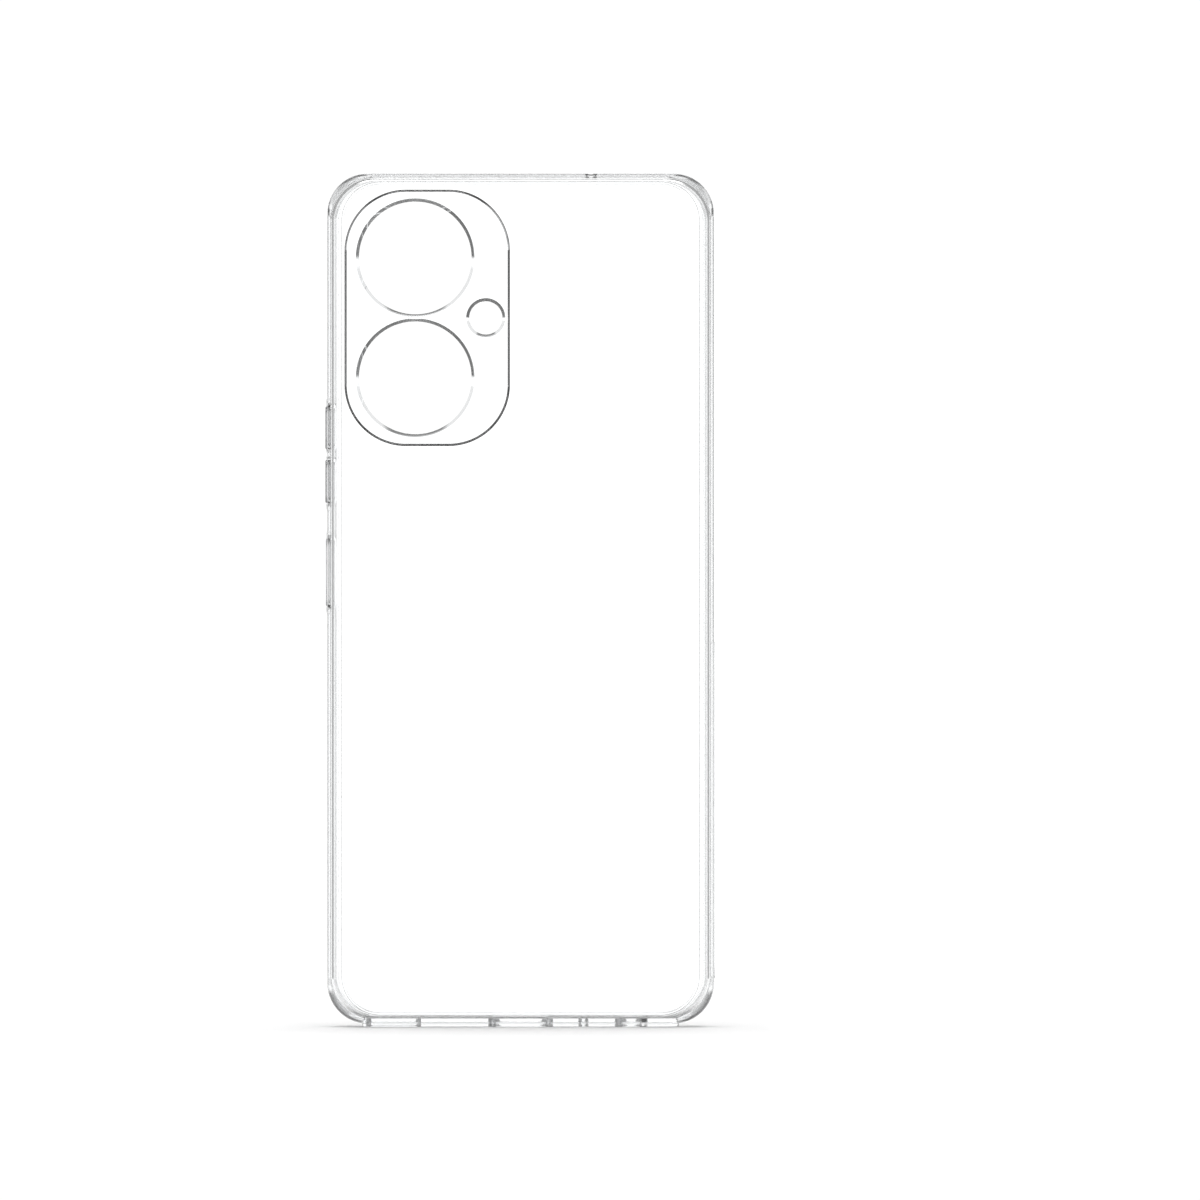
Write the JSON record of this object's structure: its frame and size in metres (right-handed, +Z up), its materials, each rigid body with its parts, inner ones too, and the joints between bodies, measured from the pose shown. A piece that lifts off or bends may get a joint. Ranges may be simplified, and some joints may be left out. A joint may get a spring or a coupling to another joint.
{
  "type": "phone case",
  "caption": "Clear phone case: hard back plate in a soft bumper frame, with a raised camera guard, lens windows, port openings and side buttons that press in.",
  "frame": {"origin": "middle of the underside of the foot, halfway through the case's depth, where the case stands on its short bottom edge", "axes": "+Z up the case; +X to the right as its outer back is looked at; the outer back faces -Y and the phone goes in and out towards +Y"},
  "size_m": [0.0775, 0.0118, 0.1698],
  "materials": {
    "hard_clear": "gloss",
    "guard_clear": "gloss",
    "soft_clear": "gloss",
    "soft_web": "satin",
    "button_grey": "gloss",
    "button_pale": "gloss"
  },
  "bodies": {
    "case": {"back_plate": "hard_clear", "bumper_frame": "soft_clear", "camera_guard": "guard_clear", "volume_up_web": "soft_web", "volume_down_web": "soft_web", "power_web": "soft_web"},
    "volume_up_button": {"volume_up_cap": "button_grey"},
    "volume_down_button": {"volume_down_cap": "button_grey"},
    "power_button": {"power_cap": "button_pale"}
  },
  "joints": [
    {"name": "volume_up_press", "type": "slide", "parent": "case", "child": "volume_up_button", "axis": [1, 0, 0], "range_m": [0, 0.0004], "stiffness_N_per_m": 1000, "deforming": ["volume_up_web"]},
    {"name": "volume_down_press", "type": "slide", "parent": "case", "child": "volume_down_button", "axis": [1, 0, 0], "range_m": [0, 0.0004], "stiffness_N_per_m": 1000, "deforming": ["volume_down_web"]},
    {"name": "power_press", "type": "slide", "parent": "case", "child": "power_button", "axis": [1, 0, 0], "range_m": [0, 0.0004], "stiffness_N_per_m": 1000, "deforming": ["power_web"]}
  ]
}
